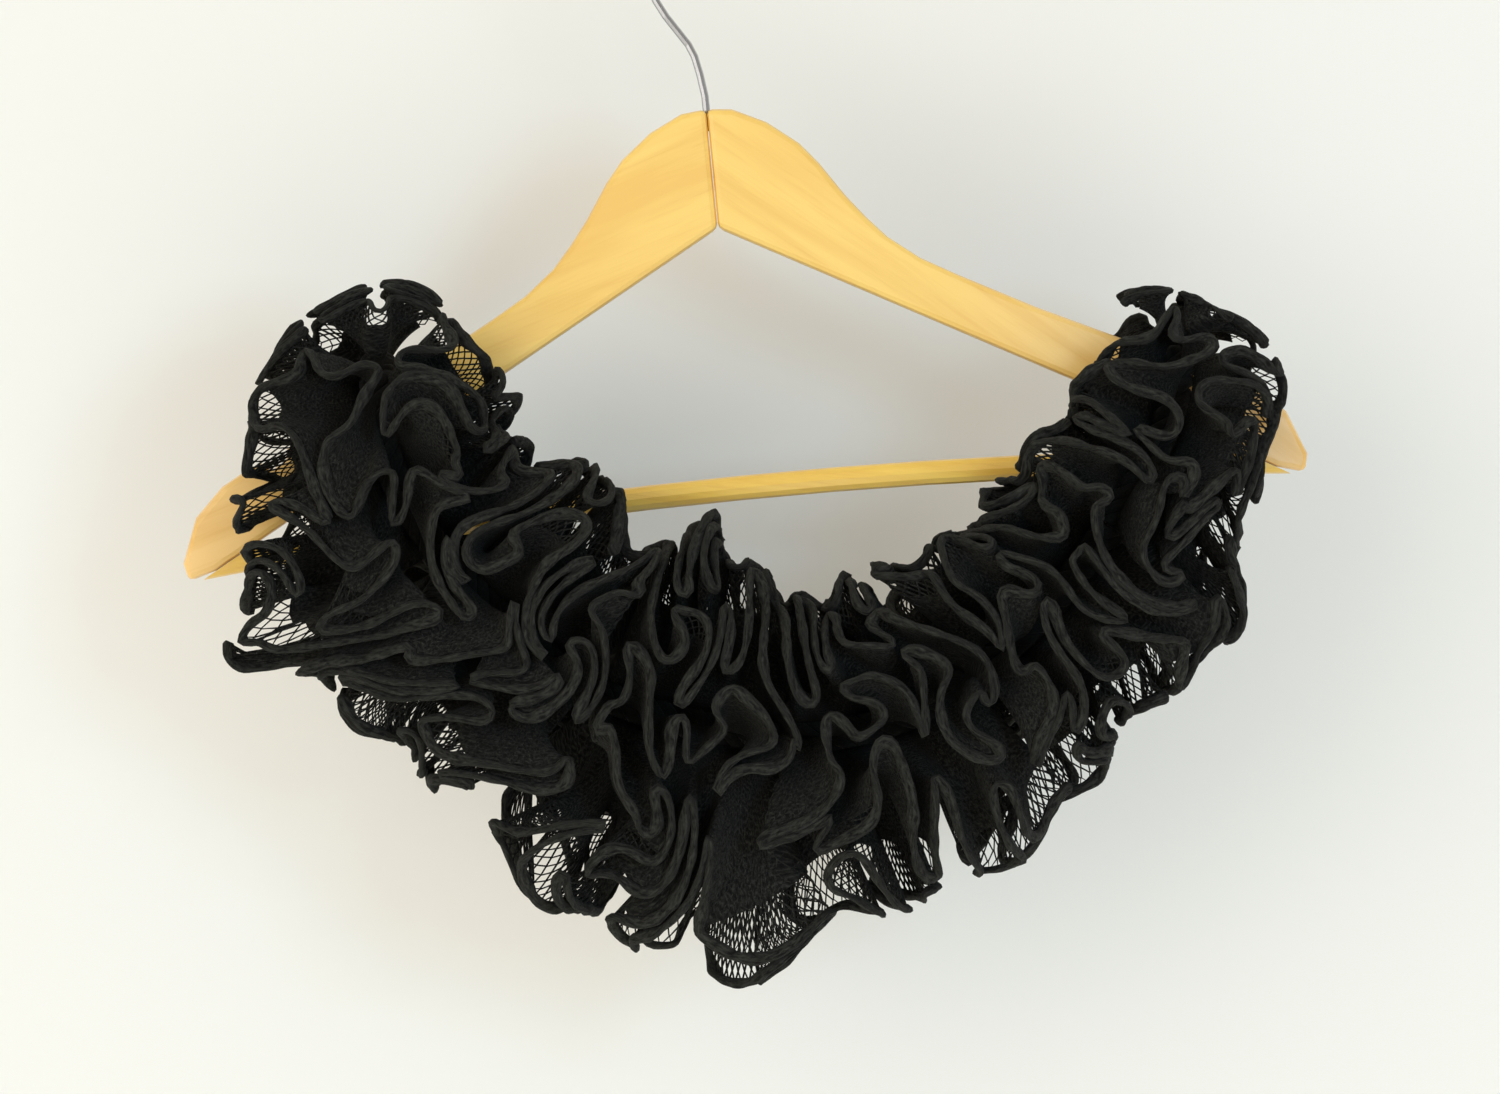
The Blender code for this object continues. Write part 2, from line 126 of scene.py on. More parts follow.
def add_room():
    profile = [(FLOOR_FROM, FLOOR_Z)]
    for step in range(SWEEP_STEPS + 1):
        bend = math.pi / 2 * step / SWEEP_STEPS
        profile.append((WALL_Y - SWEEP * (1 - math.sin(bend)), FLOOR_Z + SWEEP * (1 - math.cos(bend))))
    profile.append((WALL_Y, WALL_TOP))
    points = [(side * ROOM_HALF_WIDTH, y, z) for y, z in profile for side in (-1, 1)]
    faces = [(2 * row, 2 * row + 1, 2 * row + 3, 2 * row + 2) for row in range(len(profile) - 1)]
    mesh = bpy.data.meshes.new("room")
    mesh.from_pydata(points, [], faces)
    mesh.shade_smooth()
    paint, tree, shader = new_material("wall_paint", Base_Color=PAINT, Roughness=0.85)
    speckle = add_node(tree, "ShaderNodeTexNoise", Scale=260.0, Detail=3.0)
    bump = add_node(tree, "ShaderNodeBump", Strength=0.05, Distance=0.001)
    tree.links.new(speckle.outputs["Fac"], bump.inputs["Height"])
    tree.links.new(bump.outputs["Normal"], shader.inputs["Normal"])
    sides = tree.nodes.new("ShaderNodeNewGeometry")
    clear = tree.nodes.new("ShaderNodeBsdfTransparent")
    either = tree.nodes.new("ShaderNodeMixShader")
    tree.links.new(sides.outputs["Backfacing"], either.inputs["Fac"])
    tree.links.new(shader.outputs["BSDF"], either.inputs[1])
    tree.links.new(clear.outputs["BSDF"], either.inputs[2])
    tree.links.new(either.outputs["Shader"], tree.nodes["Material Output"].inputs["Surface"])
    new_object("room", mesh, paint)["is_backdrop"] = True


def add_lamps():
    for row in named(LAMP_COLUMNS, LAMPS):
        data = bpy.data.lights.new(row["name"], "AREA")
        data.size = row["size"]
        data.energy = row["watts"]
        data.color = row["colour"]
        lamp = bpy.data.objects.new(row["name"], data)
        lamp.location = row["place"]
        lamp.rotation_euler = (Vector(LIT_POINT) - lamp.location).to_track_quat("-Z", "Y").to_euler()
        lamp.visible_camera = False
        bpy.context.scene.collection.objects.link(lamp)
    world = bpy.data.worlds.new("studio")
    world.use_nodes = True
    world.node_tree.nodes["Background"].inputs["Color"].default_value = DAYLIGHT
    world.node_tree.nodes["Background"].inputs["Strength"].default_value = DAYLIGHT_STRENGTH
    bpy.context.scene.world = world


add_room()
add_lamps()


# Hanger arms. Two flat beech arms meet in a mitre under the hook. They are lacquered a warm yellow that
# turns to peach at the tips, and the grain runs along each arm. The peach is also painted a little
# lighter
# than the lacquer is: painted light against the shade that falls on the tips.
ARM_HONEY = (0.94, 0.62, 0.150, 1.0)
ARM_AMBER = (0.80, 0.44, 0.075, 1.0)
# The tips' peach: the lacquer's own tone, plus painted light that lifts the shade on the tips.
ARM_PEACH_AND_PAINTED_LIGHT = (0.96, 0.60, 0.22, 1.0)
ARM_SLOPES = {"hanger_arm_left": 23.1, "hanger_arm_right": -34.3}
TIP_FROM = 0.10
TIP_TO = 0.22


def wood_grain_group():
    """Long fibres and pores: a mask of the darker grain, and a height for the bump."""
    group = bpy.data.node_groups.new("wood_grain", "ShaderNodeTree")
    slope = group.interface.new_socket("Slope", in_out="INPUT", socket_type="NodeSocketFloat")
    slope.default_value = 0.0
    group.interface.new_socket("Grain", in_out="OUTPUT", socket_type="NodeSocketFloat")
    group.interface.new_socket("Height", in_out="OUTPUT", socket_type="NodeSocketFloat")
    given = group.nodes.new("NodeGroupInput")
    result = group.nodes.new("NodeGroupOutput")
    place = group.nodes.new("ShaderNodeTexCoord")
    turn = group.nodes.new("ShaderNodeCombineXYZ")
    along = group.nodes.new("ShaderNodeVectorRotate")
    along.rotation_type = "EULER_XYZ"
    group.links.new(given.outputs["Slope"], turn.inputs["Y"])
    group.links.new(place.outputs["Object"], along.inputs["Vector"])
    group.links.new(turn.outputs["Vector"], along.inputs["Rotation"])
    figures = []
    for stretch, detail in (((7.0, 60.0, 95.0), 4.0), ((40.0, 900.0, 900.0), 2.0)):
        scaled = add_node(group, "ShaderNodeMapping", Scale=stretch)
        noise = add_node(group, "ShaderNodeTexNoise", Scale=1.0, Detail=detail, Distortion=0.5)
        group.links.new(along.outputs["Vector"], scaled.inputs["Vector"])
        group.links.new(scaled.outputs["Vector"], noise.inputs["Vector"])
        figures.append(noise)
    bands = add_node(group, "ShaderNodeMapRange", From_Min=0.42, From_Max=0.68)
    group.links.new(figures[0].outputs["Fac"], bands.inputs["Value"])
    fibres = add_node(group, "ShaderNodeMapRange", From_Min=0.52, From_Max=0.75, To_Max=0.45)
    group.links.new(figures[1].outputs["Fac"], fibres.inputs["Value"])
    both = group.nodes.new("ShaderNodeMath")
    both.operation = "ADD"
    both.use_clamp = True
    group.links.new(bands.outputs["Result"], both.inputs[0])
    group.links.new(fibres.outputs["Result"], both.inputs[1])
    group.links.new(both.outputs["Value"], result.inputs["Grain"])
    group.links.new(figures[1].outputs["Fac"], result.inputs["Height"])
    return group


WOOD_GRAIN = wood_grain_group()


def lacquered_wood(name, slope, pale, dark, tip):
    """Lacquered wood whose grain follows the slope; its pale colour turns to the tip's outwards."""
    made, tree, shader = new_material(name, Roughness=0.36, Coat_Weight=0.35, Coat_Roughness=0.18)
    grain = tree.nodes.new("ShaderNodeGroup")
    grain.node_tree = WOOD_GRAIN
    grain.inputs["Slope"].default_value = math.radians(slope)
    place = tree.nodes.new("ShaderNodeTexCoord")
    parts = tree.nodes.new("ShaderNodeSeparateXYZ")
    out = tree.nodes.new("ShaderNodeMath")
    out.operation = "ABSOLUTE"
    reach = add_node(tree, "ShaderNodeMapRange", From_Min=TIP_FROM, From_Max=TIP_TO)
    tree.links.new(place.outputs["Object"], parts.inputs["Vector"])
    tree.links.new(parts.outputs["X"], out.inputs[0])
    tree.links.new(out.outputs["Value"], reach.inputs["Value"])
    ground = tree.nodes.new("ShaderNodeMix")
    ground.data_type = "RGBA"
    ground.inputs["A"].default_value = pale
    ground.inputs["B"].default_value = tip
    tree.links.new(reach.outputs["Result"], ground.inputs["Factor"])
    figured = tree.nodes.new("ShaderNodeMix")
    figured.data_type = "RGBA"
    figured.inputs["B"].default_value = dark
    share = tree.nodes.new("ShaderNodeMath")
    share.operation = "MULTIPLY"
    share.inputs[1].default_value = 0.55
    tree.links.new(grain.outputs["Grain"], share.inputs[0])
    tree.links.new(share.outputs["Value"], figured.inputs["Factor"])
    tree.links.new(ground.outputs["Result"], figured.inputs["A"])
    tree.links.new(figured.outputs["Result"], shader.inputs["Base Color"])
    bump = add_node(tree, "ShaderNodeBump", Strength=0.12, Distance=0.0004)
    tree.links.new(grain.outputs["Height"], bump.inputs["Height"])
    tree.links.new(bump.outputs["Normal"], shader.inputs["Normal"])
    return made


def refinish(node, material):
    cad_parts[node].data.materials.clear()
    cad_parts[node].data.materials.append(material)


for arm, slope in ARM_SLOPES.items():
    refinish(arm, lacquered_wood(f"{arm}_wood", slope, ARM_HONEY, ARM_AMBER, ARM_PEACH_AND_PAINTED_LIGHT))


# Crossbar. A round beech dowel, bowed slightly upwards, let in between the arms' ends. Its lacquer is
# deeper and more orange than the arms'.
BAR_ORANGE = (0.97, 0.63, 0.11, 1.0)
BAR_BROWN = (0.78, 0.40, 0.06, 1.0)
HANGER_TILT = -5.6

refinish("crossbar", lacquered_wood("crossbar_wood", HANGER_TILT, BAR_ORANGE, BAR_BROWN, BAR_ORANGE))


# Hook. Bright drawn steel wire, screwed into the top of the mitre and bent over to the left. Fine die
# marks run along it.
STEEL = (0.38, 0.38, 0.39, 1.0)


def drawn_steel():
    made, tree, shader = new_material("hook_steel", Base_Color=STEEL, Metallic=1.0)
    place = tree.nodes.new("ShaderNodeTexCoord")
    scaled = add_node(tree, "ShaderNodeMapping", Scale=(1800.0, 1800.0, 60.0))
    marks = add_node(tree, "ShaderNodeTexNoise", Scale=1.0, Detail=2.0)
    shine = add_node(tree, "ShaderNodeMapRange", To_Min=0.17, To_Max=0.33)
    bump = add_node(tree, "ShaderNodeBump", Strength=0.08, Distance=0.0001)
    tree.links.new(place.outputs["Object"], scaled.inputs["Vector"])
    tree.links.new(scaled.outputs["Vector"], marks.inputs["Vector"])
    tree.links.new(marks.outputs["Fac"], shine.inputs["Value"])
    tree.links.new(shine.outputs["Result"], shader.inputs["Roughness"])
    tree.links.new(marks.outputs["Fac"], bump.inputs["Height"])
    tree.links.new(bump.outputs["Normal"], shader.inputs["Normal"])
    return made


refinish("hook", drawn_steel())


# Knitted cord. The stitches that gather the ribbon make one soft cord, down the front, over the right
# arm, down the back and over the left arm. Its sections also give the ruffles' reach in mm: away from
# the hanger, towards it, and to the outer and inner side of the swag.
MM = 0.001
SECTION_COLUMNS = ("name", "x", "y", "z", "turn", "lean", "away", "toward", "outer", "inner")
SECTIONS = (
    ("left_front_top", -121, -21, -176, 45, -31, 36, 13, 50, 40),
    ("left_front_high", -119, -34, -196, 8, -34, 42, 20, 54, 48),
    ("left_front", -111, -38, -219, 0, -34, 46, 29, 60, 52),
    ("left_low", -94, -39, -245, 0, -25, 48, 30, 62, 56),
    ("left_lower", -69, -39, -271, 0, -15, 50, 30, 66, 62),
    ("bottom_left", -38, -39, -295, 0, -10, 51, 30, 70, 68),
    ("bottom", 3, -39, -309, 0, -5, 52, 30, 70, 68),
    ("bottom_middle", 46, -39, -314, 0, 0, 52, 30, 66, 61),
    ("bottom_right", 90, -39, -303, 0, 5, 50, 30, 62, 58),
    ("right_lower", 130, -39, -273, 0, 10, 48, 30, 58, 54),
    ("right_low", 160, -39, -237, 0, 15, 46, 30, 54, 48),
    ("right_front", 178, -38, -208, 0, 23, 44, 29, 44, 40),
    ("right_front_high", 187, -34, -187, 8, 23, 40, 25, 44, 40),
    ("right_front_top", 191, -21, -165, 45, 20, 28, 14, 40, 36),
    ("right_over", 191.9, 0, -157.1, 90, 20, 20, 12, 40, 34),
    ("right_back_top", 191, 21, -165, 135, 20, 26, 14, 36, 34),
    ("right_back_high", 187, 34, -187, 172, 23, 34, 25, 38, 36),
    ("right_back", 176, 37, -212, 180, 23, 36, 28, 38, 36),
    ("back_right", 152, 38, -245, 180, 15, 38, 29, 40, 38),
    ("back_lower_right", 115, 38, -279, 180, 10, 38, 29, 42, 40),
    ("back_bottom_right", 72, 38, -303, 180, 5, 38, 29, 44, 42),
    ("back_bottom", 26, 38, -312, 180, 0, 38, 29, 44, 44),
    ("back_bottom_left", -20, 38, -304, 180, -5, 38, 29, 44, 44),
    ("back_lower_left", -60, 38, -280, 180, -10, 38, 29, 44, 42),
    ("back_left", -92, 38, -247, 180, -20, 38, 29, 42, 40),
    ("left_back", -111, 37, -217, 180, -34, 36, 28, 40, 38),
    ("left_back_high", -118, 34, -197, 172, -34, 36, 25, 40, 38),
    ("left_back_top", -121, 21, -176, 135, -31, 36, 14, 42, 38),
    ("left_over", -122.5, 0, -170.0, 90, -31, 36, 12, 46, 40),
)
LOBE_COLUMNS = ("name", "x", "z", "width")
LOBES = (
    ("left_tube", -176, -196, 14),
    ("left_round", -173, -246, 24),
    ("left_point", -174, -279, 13),
    ("left_spike", -88, -341, 16),
    ("bottom_net", -42, -379, 22),
    ("tail", 12, -408, 19),
    ("tail_side", 44, -400, 12),
    ("right_bottom", 86, -375, 20),
    ("right_net", 208, -274, 17),
    ("right_hooked", 215, -233, 12),
    ("right_spike", 230, -196, 13),
    ("right_loops", 232, -168, 12),
    ("inner_left", -64, -182, 16),
    ("inner_bar", -30, -208, 16),
    ("inner_middle", 6, -228, 15),
    ("inner_right", 118, -215, 16),
)
SPLINE_STEPS = 40
STRETCH_COLUMNS = ("name", "first", "last", "parts", "rows")
STRETCHES = (
    ("front", "left_front_top", "right_front_top", 6, "front"),
    ("over_right", "right_front_top", "right_back_top", 1, "over"),
    ("back", "right_back_top", "left_back_top", 5, "back"),
    ("over_left", "left_back_top", "left_front_top", 1, "over"),
)
CORD_DARK = (0.004, 0.004, 0.0035, 1.0)
CORD_PALE = (0.012, 0.012, 0.010, 1.0)
CORD_FIBRES = (1100.0, 1100.0, 1100.0)
CRUMPLE_SCALE = 130.0
CRUMPLE_STITCHES = 4.0
CORD_END_GAP = 0.6 * MM
PLIES = 5
PLY_RADIUS = 3.1 * MM
PLY_CENTRE = 4.8 * MM
PLY_PITCH = 34 * MM
PLY_SIDES = 8
PLY_STEP = 3.0 * MM


def unit(vectors):
    return vectors / np.linalg.norm(vectors, axis=1, keepdims=True)


def closed_spline(rows):
    """A smooth closed curve through all the columns of the rows at once."""
    points = np.array(rows, float)
    made = []
    for index in range(len(points)):
        before, here, after, beyond = (points[(index + shift) % len(points)] for shift in (-1, 0, 1, 2))
        for step in range(SPLINE_STEPS):
            t = step / SPLINE_STEPS
            made.append(0.5 * (2 * here + (after - before) * t
                               + (2 * before - 5 * here + 4 * after - beyond) * t ** 2
                               + (3 * here - before - 3 * after + beyond) * t ** 3))
    return np.array(made)


class ScarfLine:
    """The cord as a closed line, with its frame and the ruffles' reach along it."""

    def __init__(self):
        rows = closed_spline([section[1:] for section in SECTIONS])
        values = dict(zip(SECTION_COLUMNS[1:], rows.T))
        self.centre = rows[:, :3] * MM
        ahead = np.roll(self.centre, -1, axis=0)
        behind = np.roll(self.centre, 1, axis=0)
        self.along = unit(ahead - behind)
        turn, lean = np.radians(values["turn"]), np.radians(values["lean"])
        away = np.stack([np.sin(turn) * np.sin(lean), -np.cos(turn), np.sin(turn) * np.cos(lean)], 1)
        self.away = unit(away - self.along * np.sum(away * self.along, axis=1, keepdims=True))
        self.side = np.cross(self.along, self.away)
        lengths = np.linalg.norm(ahead - self.centre, axis=1)
        self.place = np.concatenate([[0.0], np.cumsum(lengths)[:-1]])
        self.length = float(lengths.sum())
        self.reach = {name: values[name] * MM for name in ("away", "toward", "outer", "inner")}
        names = [section[0] for section in SECTIONS]
        self.starts = dict(zip(names, self.place[::SPLINE_STEPS]))
        for lobe in named(LOBE_COLUMNS, LOBES):
            self.add_lobe(lobe["x"] * MM, lobe["z"] * MM, lobe["width"] * MM)

    def add_lobe(self, x, z, width):
        """Stretches the reach on the lobe's side until it meets the lobe's tip."""
        front = self.centre[:, 1] < -30 * MM
        offset = np.array([x, 0.0, z]) - self.centre * [1, 0, 1]
        distance = np.where(front, np.linalg.norm(offset, axis=1), np.inf)
        nearest = int(np.argmin(distance))
        side = "outer" if offset[nearest] @ self.side[nearest] > 0 else "inner"
        more = distance[nearest] - self.reach[side][nearest]
        bump = np.exp(-((self.place - self.place[nearest]) / width) ** 2)
        self.reach[side] = self.reach[side] + more * bump

    def at(self, values, place):
        """The values of a column, or of three, at each place along the line."""
        place = np.mod(place, self.length)
        knots = np.append(self.place, self.length)
        if values.ndim == 1:
            return np.interp(place, knots, np.append(values, values[0]))
        columns = [np.interp(place, knots, np.append(column, column[0])) for column in values.T]
        return np.stack(columns, axis=1)

    def from_over(self, place):
        """The distance along the line to the nearer place where it crosses an arm."""
        nearest = np.full(np.shape(place), self.length)
        for name in ("left_over", "right_over"):
            past = np.mod(place - self.starts[name] + self.length / 2, self.length) - self.length / 2
            nearest = np.minimum(nearest, np.abs(past))
        return nearest


scarf_line = ScarfLine()


def stretches():
    """Each stretch of the scarf that is a solid of its own: its label, where it runs, and its rows."""
    for stretch in named(STRETCH_COLUMNS, STRETCHES):
        start, end = scarf_line.starts[stretch["first"]], scarf_line.starts[stretch["last"]]
        if end < start:
            end += scarf_line.length
        parts = stretch["parts"]
        for part in range(parts):
            label = f"{stretch['name']}_{part + 1}" if parts > 1 else stretch["name"]
            low = start + (end - start) * part / parts
            high = start + (end - start) * (part + 1) / parts
            yield label, low, high, stretch["rows"]


def tube_faces(rings, sides, first=0):
    """Faces of a closed tube whose points come ring after ring."""
    faces = []
    for ring in range(rings - 1):
        base = first + ring * sides
        for side in range(sides):
            after = (side + 1) % sides
            faces.append((base + side, base + after, base + sides + after, base + sides + side))
    faces.append(tuple(first + side for side in reversed(range(sides))))
    faces.append(tuple(first + (rings - 1) * sides + side for side in range(sides)))
    return faces


def yarn_group():
    """Fibres of the yarn: a mask of the paler ones, and a height for the bump."""
    group = bpy.data.node_groups.new("yarn_fibres", "ShaderNodeTree")
    scale = group.interface.new_socket("Scale", in_out="INPUT", socket_type="NodeSocketVector")
    scale.default_value = (900.0, 900.0, 900.0)
    group.interface.new_socket("Vector", in_out="INPUT", socket_type="NodeSocketVector")
    group.interface.new_socket("Fibres", in_out="OUTPUT", socket_type="NodeSocketFloat")
    group.interface.new_socket("Height", in_out="OUTPUT", socket_type="NodeSocketFloat")
    given = group.nodes.new("NodeGroupInput")
    result = group.nodes.new("NodeGroupOutput")
    scaled = group.nodes.new("ShaderNodeVectorMath")
    scaled.operation = "MULTIPLY"
    noise = add_node(group, "ShaderNodeTexNoise", Scale=1.0, Detail=5.0, Roughness=0.65, Distortion=0.4)
    mask = add_node(group, "ShaderNodeMapRange", From_Min=0.38, From_Max=0.72)
    group.links.new(given.outputs["Vector"], scaled.inputs[0])
    group.links.new(given.outputs["Scale"], scaled.inputs[1])
    group.links.new(scaled.outputs["Vector"], noise.inputs["Vector"])
    group.links.new(noise.outputs["Fac"], mask.inputs["Value"])
    group.links.new(mask.outputs["Result"], result.inputs["Fibres"])
    group.links.new(noise.outputs["Fac"], result.inputs["Height"])
    return group


def arithmetic(tree, operation, first, second=None):
    """The value of one sum on a socket, with a number or another socket."""
    made = tree.nodes.new("ShaderNodeMath")
    made.operation = operation
    for slot, value in enumerate((first, second)):
        if isinstance(value, bpy.types.NodeSocket):
            tree.links.new(value, made.inputs[slot])
        elif value is not None:
            made.inputs[slot].default_value = value
    return made.outputs["Value"]


def stitch_group():
    """Slanting stitches of the crumpled net: a mask, 1 on the strands and lower in the gaps."""
    group = bpy.data.node_groups.new("knit_stitches", "ShaderNodeTree")
    for name, value in (("Width", 0.006), ("Height", 0.003)):
        size = group.interface.new_socket(name, in_out="INPUT", socket_type="NodeSocketFloat")
        size.default_value = value
    group.interface.new_socket("Vector", in_out="INPUT", socket_type="NodeSocketVector")
    group.interface.new_socket("Stitches", in_out="OUTPUT", socket_type="NodeSocketFloat")
    given = group.nodes.new("NodeGroupInput")
    result = group.nodes.new("NodeGroupOutput")
    crumple = add_node(group, "ShaderNodeTexNoise", Scale=CRUMPLE_SCALE, Detail=2.0)
    group.links.new(given.outputs["Vector"], crumple.inputs["Vector"])
    moved = arithmetic(group, "MULTIPLY", crumple.outputs["Fac"], CRUMPLE_STITCHES)
    parts = group.nodes.new("ShaderNodeSeparateXYZ")
    group.links.new(given.outputs["Vector"], parts.inputs["Vector"])
    across = arithmetic(group, "DIVIDE", parts.outputs["X"], given.outputs["Width"])
    up = arithmetic(group, "DIVIDE", parts.outputs["Y"], given.outputs["Height"])
    strands = []
    for lean in ("ADD", "SUBTRACT"):
        line = arithmetic(group, "ADD", arithmetic(group, lean, across, up), moved)
        from_line = arithmetic(group, "SUBTRACT", arithmetic(group, "FRACT", line), 0.5)
        strands.append(arithmetic(group, "ABSOLUTE", from_line))
    nearest = arithmetic(group, "MINIMUM", *strands)
    mask = add_node(group, "ShaderNodeMapRange", From_Min=0.05, From_Max=0.30, To_Min=1.0, To_Max=0.25)
    group.links.new(nearest, mask.inputs["Value"])
    group.links.new(mask.outputs["Result"], result.inputs["Stitches"])
    return group


YARN_FIBRES = yarn_group()
KNIT_STITCHES = stitch_group()


def yarn_material(name, coordinates, scale, dark, pale, depth, knit=None):
    """Matt black yarn with paler fibres, by the object's coordinates or those of the cut. With a knit,
    which is the width and height of a stitch, the fibres show more on the stitches than in between."""
    made, tree, shader = new_material(name, Roughness=0.90, Sheen_Weight=0.03, Sheen_Roughness=0.5,
                                      Sheen_Tint=(0.75, 0.76, 0.70, 1.0), Specular_IOR_Level=0.12)
    place = tree.nodes.new("ShaderNodeTexCoord")
    fibres = tree.nodes.new("ShaderNodeGroup")
    fibres.node_tree = YARN_FIBRES
    fibres.inputs["Scale"].default_value = scale
    colour = tree.nodes.new("ShaderNodeMix")
    colour.data_type = "RGBA"
    colour.inputs["A"].default_value = dark
    colour.inputs["B"].default_value = pale
    bump = add_node(tree, "ShaderNodeBump", Strength=0.7, Distance=depth)
    tree.links.new(place.outputs[coordinates], fibres.inputs["Vector"])
    shown, height = fibres.outputs["Fibres"], fibres.outputs["Height"]
    if knit:
        stitches = tree.nodes.new("ShaderNodeGroup")
        stitches.node_tree = KNIT_STITCHES
        stitches.inputs["Width"].default_value, stitches.inputs["Height"].default_value = knit
        tree.links.new(place.outputs[coordinates], stitches.inputs["Vector"])
        shown, height = (arithmetic(tree, "MULTIPLY", value, stitches.outputs["Stitches"])
                         for value in (shown, height))
    tree.links.new(shown, colour.inputs["Factor"])
    tree.links.new(colour.outputs["Result"], shader.inputs["Base Color"])
    tree.links.new(height, bump.inputs["Height"])
    tree.links.new(bump.outputs["Normal"], shader.inputs["Normal"])
    return made


CORD_YARN = yarn_material("cord_yarn", "Object", CORD_FIBRES, CORD_DARK, CORD_PALE, 0.0006)


def add_cord(label, start, end):
    """The plies of one stretch of the cord, wound round each other along the line."""
    rings = max(8, int((end - start) / PLY_STEP))
    places = np.linspace(start + CORD_END_GAP, end - CORD_END_GAP, rings)
    centre = scarf_line.at(scarf_line.centre, places)
    away, side = scarf_line.at(scarf_line.away, places), scarf_line.at(scarf_line.side, places)
    points, faces = [], []
    for ply in range(PLIES):
        wind = 2 * math.pi * (places / PLY_PITCH + ply / PLIES)
        middle = centre + PLY_CENTRE * (away * np.cos(wind)[:, None] + side * np.sin(wind)[:, None])
        corners = []
        for corner in range(PLY_SIDES):
            round_it = 2 * math.pi * corner / PLY_SIDES
            outwards = away * math.cos(round_it) + side * math.sin(round_it)
            corners.append(middle + PLY_RADIUS * outwards)
        faces += tube_faces(rings, PLY_SIDES, len(points))
        points += np.stack(corners, axis=1).reshape(-1, 3).tolist()
    mesh = bpy.data.meshes.new(f"cord_{label}")
    mesh.from_pydata(points, [], faces)
    mesh.shade_smooth()
    cord = new_object(f"cord_{label}", mesh, CORD_YARN)
    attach(cord, "root")
    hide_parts(f"core_{label}")


for label, low, high, _ in stretches():
    add_cord(label, low, high)


# Net ribbon. One long ribbon is worked onto the cord by its netted edge and stands out all round it in
# tight waves, which curl into each other. Towards the cord the net is crumpled shut, further out its
# diamonds are open, and its free edge is a thick soft band.
HEADER_RADIUS = 8.9 * MM
WAVE_BEND = math.radians(94)
WAVE_STEPS = 32
WAVE_HEIGHT = 0.84
TURN_LENGTH = 5.0 * MM
TURN_STEPS = 12
HEADER_TURN_SHARE = 0.6
STRETCH_GAP = 1.6 * MM
DROOP = 4.0 * MM
FULLNESS = 2.6
UNEVEN_SHARE = 0.07
UNEVEN_LENGTHS = (9 * MM, 23 * MM)
RAGGED_SHARE = 0.10
RAGGED_LENGTHS = (5.2 * MM, 17 * MM)
WANDER_ALONG = 8 * MM
WANDER_ROUND = 0.14
WANDER_ALONG_LENGTH = 45 * MM
WANDER_ROUND_LENGTH = 12 * MM
CALM_LENGTH = (28 * MM, 52 * MM)
ROW_COLUMNS = ("first", "last", "wave")
ROWS = {
    "front": ((-180, -112, 28), (-112, -67, 19), (-67, -22, 19), (-22, 22, 19), (22, 67, 19),
              (67, 112, 19), (112, 180, 28)),
    "back": ((-180, -110, 40), (-110, -38, 26), (-38, 38, 26), (38, 110, 26), (110, 180, 40)),
    "over": ((-72, -24, 10), (-24, 24, 10), (24, 72, 10)),
}
CURL_SEED = 7
CURL_TRIES = 4000
CURL_COUNT = 60
CURL_APART = 38 * MM
CURL_WIDTH = 21 * MM
CURL_TWIST = (0.9, 2.2)
CURL_ROUND = math.radians(115)
CURL_CLEAR = 56 * MM
MEAN_REACH = 50 * MM
SWAY_COLUMNS = ("along", "round", "length", "turns", "phase")
SWAYS = (
    (0.0, 15.0, 15.0, 0, 0.4),
    (7.0, 0.0, 0.0, 2, 1.1),
    (0.0, 8.0, 7.5, 0, 2.0),
    (4.0, 0.0, 0.0, 5, 0.2),
)
SWAY_OVER = 0.3
SWAY_RISE = 1.5
PINCH_ALONG = 2.6 * MM
PINCH_LENGTH = 5.3 * MM
RIBS_MEASURED = 300
RIB_STEPS = 13
SHUT_SHARES = (0.93, 0.60)
SHUT_ANGLES = (math.radians(48), math.radians(72))
SHUT_LEVELS = 7
SHUT_WALL = 0.55 * MM
NET_FROM = 0.52
NET_CELL = (4.7 * MM, 5.8 * MM)
NET_STRAND = 0.95 * MM
BAND_HALF_WIDTH = 2.4 * MM
BAND_HALF_THICKNESS = 1.4 * MM
BAND_OVER_ARM = 0.75
BAND_FOOT = 0.06
BAND_LUMPS = ((0.10, 3.1 * MM, 0.0), (0.08, 1.9 * MM, 1.0))
BAND_LEANS = ((0.7, 21 * MM), (0.4, 8 * MM))
BAND_SIDES = 8
BAND_STEP = 2.2 * MM
SHUT_DARK = (0.0025, 0.0025, 0.0022, 1.0)
SHUT_PALE = (0.045, 0.045, 0.038, 1.0)
NET_DARK = (0.004, 0.004, 0.0035, 1.0)
NET_PALE = (0.040, 0.040, 0.034, 1.0)
BAND_DARK = (0.004, 0.004, 0.0035, 1.0)
BAND_PALE = (0.042, 0.042, 0.0355, 1.0)
CUT_FIBRES = (240.0, 1150.0, 1.0)
STRAND_FIBRES = (700.0, 700.0, 700.0)
KNIT = (6.2 * MM, 3.4 * MM)


def curl_centres():
    """Where the waves curl round each other: place along the line, angle round it, and twist."""
    chance = random.Random(CURL_SEED)
    found = []
    for _ in range(CURL_TRIES):
        place = chance.uniform(0, scarf_line.length)
        angle = chance.uniform(-CURL_ROUND, CURL_ROUND)
        twist = chance.choice((-1, 1)) * chance.uniform(*CURL_TWIST)
        if scarf_line.from_over(np.array([place]))[0] < CURL_CLEAR:
            continue
        apart = [math.hypot(place - along, (angle - at) * MEAN_REACH) for along, at, _ in found]
        if all(distance > CURL_APART for distance in apart):
            found.append((place, angle, twist))
        if len(found) == CURL_COUNT:
            break
    return found


CURLS = curl_centres()


